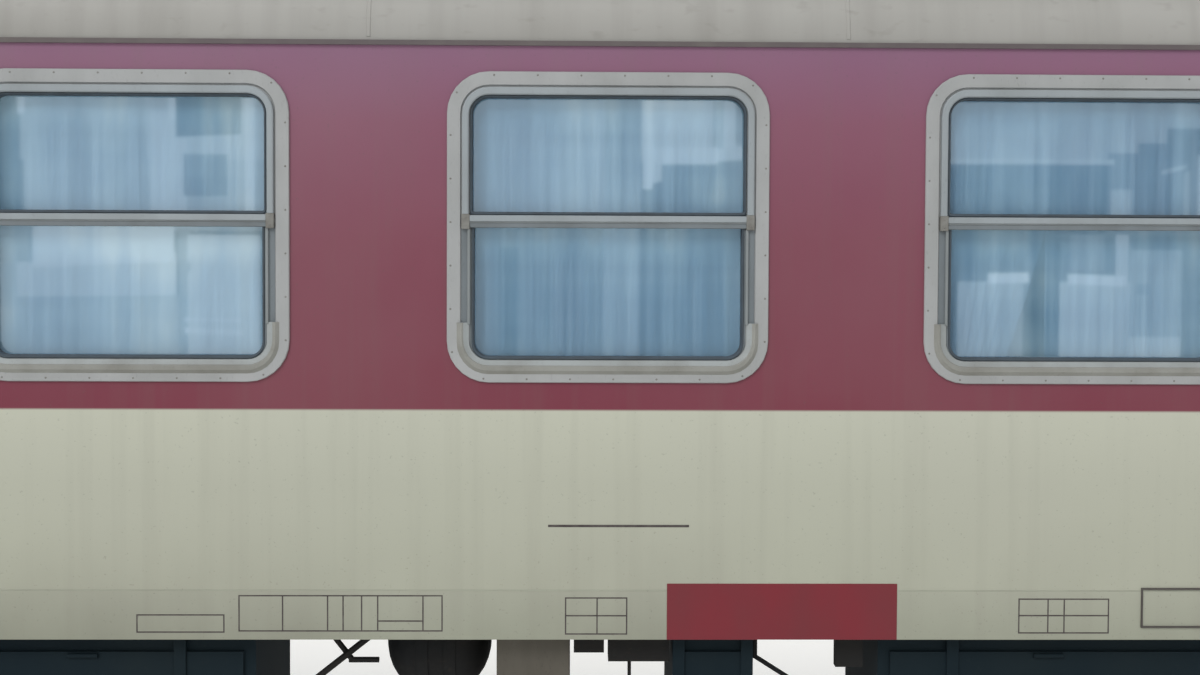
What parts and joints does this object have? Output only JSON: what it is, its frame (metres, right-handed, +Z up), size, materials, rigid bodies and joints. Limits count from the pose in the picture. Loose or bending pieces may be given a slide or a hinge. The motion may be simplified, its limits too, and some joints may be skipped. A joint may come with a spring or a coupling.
{
  "type": "railway sleeping coach",
  "caption": "Four-axle passenger sleeping coach on two swivelling bogies, with folding entrance doors, sliding gangway doors and half-drop windows.",
  "frame": {"origin": "on the floor under the middle of the coach, at the height of the wheel flanges' lowest points", "axes": "+X along the coach, +Y across it towards the corridor side, +Z up"},
  "size_m": [24.564, 2.957, 4.218],
  "materials": {
    "grey_paint": "weathered satin",
    "red_and_cream_paint": "cream below, dark red window band, grey eaves, satin and dusty",
    "light_metal": "dull anodised",
    "clear_glass": "clear",
    "milk_glass": "frosted",
    "net_cloth": "thin pale blue cloth",
    "floor_covering": "studded dark covering",
    "white_panel": "satin white",
    "wood_panel": "laminated, satin",
    "black_paint": "matt with brake dust",
    "dark_grey_paint": "dusty satin",
    "grey_door_paint": "satin",
    "black_rubber": "matt",
    "bare_steel": "worn chequer plate",
    "rolled_steel": "brown dust, bright tread",
    "rusty_iron": "rough and rusty",
    "red_lens": "clear red"
  },
  "bodies": {
    "coach": {"roof": "grey_paint", "roof_vents": "grey_paint", "side_wall_left": "red_and_cream_paint", "side_wall_right": "red_and_cream_paint", "end_walls": "red_and_cream_paint", "window_casings_left": "light_metal", "window_casings_right": "light_metal", "window_glass": "clear_glass", "frosted_glass": "milk_glass", "curtains_left": "net_cloth", "curtains_right": "net_cloth", "floor": "floor_covering", "ceiling": "white_panel", "corridor_wall": "wood_panel", "partitions": "wood_panel", "vestibule_walls": "wood_panel", "underframe": "black_paint", "buffers": "black_paint", "draw_gear": "black_paint", "gangway_rubbers": "black_rubber", "bridge_plates": "bare_steel", "entrance_steps": "black_paint", "handrails": "light_metal", "side_duct": "dark_grey_paint", "battery_boxes": "black_paint", "equipment_cases": "black_paint", "air_tanks": "black_paint", "brake_rigging": "black_paint", "pipework": "black_paint", "end_fittings": "dark_grey_paint"},
    "bogie_front": {"bogie_frame_front": "black_paint", "axle_boxes_front": "black_paint", "bogie_springs_front": "black_paint", "bolster_front": "black_paint", "spring_plank_front": "black_paint", "brake_blocks_front": "rusty_iron"},
    "wheelset_front_1": {"wheels_front_1": "rolled_steel", "axle_front_1": "rolled_steel"},
    "wheelset_front_2": {"wheels_front_2": "rolled_steel", "axle_front_2": "rolled_steel"},
    "bogie_rear": {"bogie_frame_rear": "black_paint", "axle_boxes_rear": "black_paint", "bogie_springs_rear": "black_paint", "bolster_rear": "black_paint", "spring_plank_rear": "black_paint", "brake_blocks_rear": "rusty_iron"},
    "wheelset_rear_1": {"wheels_rear_1": "rolled_steel", "axle_rear_1": "rolled_steel"},
    "wheelset_rear_2": {"wheels_rear_2": "rolled_steel", "axle_rear_2": "rolled_steel"},
    "end_door_front": {"end_door_front": "grey_door_paint"},
    "door_front_left_a": {"door_front_left_a": "red_and_cream_paint"},
    "door_front_left_b": {"door_front_left_b": "red_and_cream_paint"},
    "door_front_right_a": {"door_front_right_a": "red_and_cream_paint"},
    "door_front_right_b": {"door_front_right_b": "red_and_cream_paint"},
    "end_door_rear": {"end_door_rear": "grey_door_paint"},
    "door_rear_left_a": {"door_rear_left_a": "red_and_cream_paint"},
    "door_rear_left_b": {"door_rear_left_b": "red_and_cream_paint"},
    "door_rear_right_a": {"door_rear_right_a": "red_and_cream_paint"},
    "door_rear_right_b": {"door_rear_right_b": "red_and_cream_paint"}
  },
  "joints": [
    {"name": "bogie_front_swivel", "type": "hinge", "parent": "coach", "child": "bogie_front", "pos_m": [-8.6, 0, 0.95], "axis": [0, 0, 1], "range_deg": [-4, 4]},
    {"name": "wheelset_front_1_turn", "type": "hinge", "parent": "bogie_front", "child": "wheelset_front_1", "pos_m": [-9.9, 0, 0.488], "axis": [0, 1, 0], "continuous": true},
    {"name": "wheelset_front_2_turn", "type": "hinge", "parent": "bogie_front", "child": "wheelset_front_2", "pos_m": [-7.3, 0, 0.488], "axis": [0, 1, 0], "continuous": true},
    {"name": "bogie_rear_swivel", "type": "hinge", "parent": "coach", "child": "bogie_rear", "pos_m": [8.6, 0, 0.95], "axis": [0, 0, 1], "range_deg": [-4, 4]},
    {"name": "wheelset_rear_1_turn", "type": "hinge", "parent": "bogie_rear", "child": "wheelset_rear_1", "pos_m": [7.3, 0, 0.488], "axis": [0, 1, 0], "continuous": true},
    {"name": "wheelset_rear_2_turn", "type": "hinge", "parent": "bogie_rear", "child": "wheelset_rear_2", "pos_m": [9.9, 0, 0.488], "axis": [0, 1, 0], "continuous": true},
    {"name": "end_door_front_slide", "type": "slide", "parent": "coach", "child": "end_door_front", "axis": [0, -1, 0], "range_m": [0, 0.64]},
    {"name": "door_front_left_a_hinge", "type": "hinge", "parent": "coach", "child": "door_front_left_a", "pos_m": [-11.737, -1.4155, 2], "axis": [0, 0, -1], "range_deg": [0, 85]},
    {"name": "door_front_left_b_hinge", "type": "hinge", "parent": "door_front_left_a", "child": "door_front_left_b", "pos_m": [-11.333, -1.3685, 2], "axis": [0, 0, -1], "range_deg": [-170, 0]},
    {"name": "door_front_right_a_hinge", "type": "hinge", "parent": "coach", "child": "door_front_right_a", "pos_m": [-11.737, 1.4155, 2], "axis": [0, 0, 1], "range_deg": [0, 85]},
    {"name": "door_front_right_b_hinge", "type": "hinge", "parent": "door_front_right_a", "child": "door_front_right_b", "pos_m": [-11.333, 1.3685, 2], "axis": [0, 0, 1], "range_deg": [-170, 0]},
    {"name": "end_door_rear_slide", "type": "slide", "parent": "coach", "child": "end_door_rear", "axis": [0, 1, 0], "range_m": [0, 0.64]},
    {"name": "door_rear_left_a_hinge", "type": "hinge", "parent": "coach", "child": "door_rear_left_a", "pos_m": [11.737, -1.4155, 2], "axis": [0, 0, 1], "range_deg": [0, 85]},
    {"name": "door_rear_left_b_hinge", "type": "hinge", "parent": "door_rear_left_a", "child": "door_rear_left_b", "pos_m": [11.333, -1.3685, 2], "axis": [0, 0, 1], "range_deg": [-170, 0]},
    {"name": "door_rear_right_a_hinge", "type": "hinge", "parent": "coach", "child": "door_rear_right_a", "pos_m": [11.737, 1.4155, 2], "axis": [0, 0, -1], "range_deg": [0, 85]},
    {"name": "door_rear_right_b_hinge", "type": "hinge", "parent": "door_rear_right_a", "child": "door_rear_right_b", "pos_m": [11.333, 1.3685, 2], "axis": [0, 0, -1], "range_deg": [-170, 0]}
  ],
  "couplings": [
    {"joint": "door_front_left_b_hinge", "follows": "door_front_left_a_hinge", "ratio": -2},
    {"joint": "door_front_right_b_hinge", "follows": "door_front_right_a_hinge", "ratio": -2},
    {"joint": "door_rear_left_b_hinge", "follows": "door_rear_left_a_hinge", "ratio": -2},
    {"joint": "door_rear_right_b_hinge", "follows": "door_rear_right_a_hinge", "ratio": -2}
  ]
}
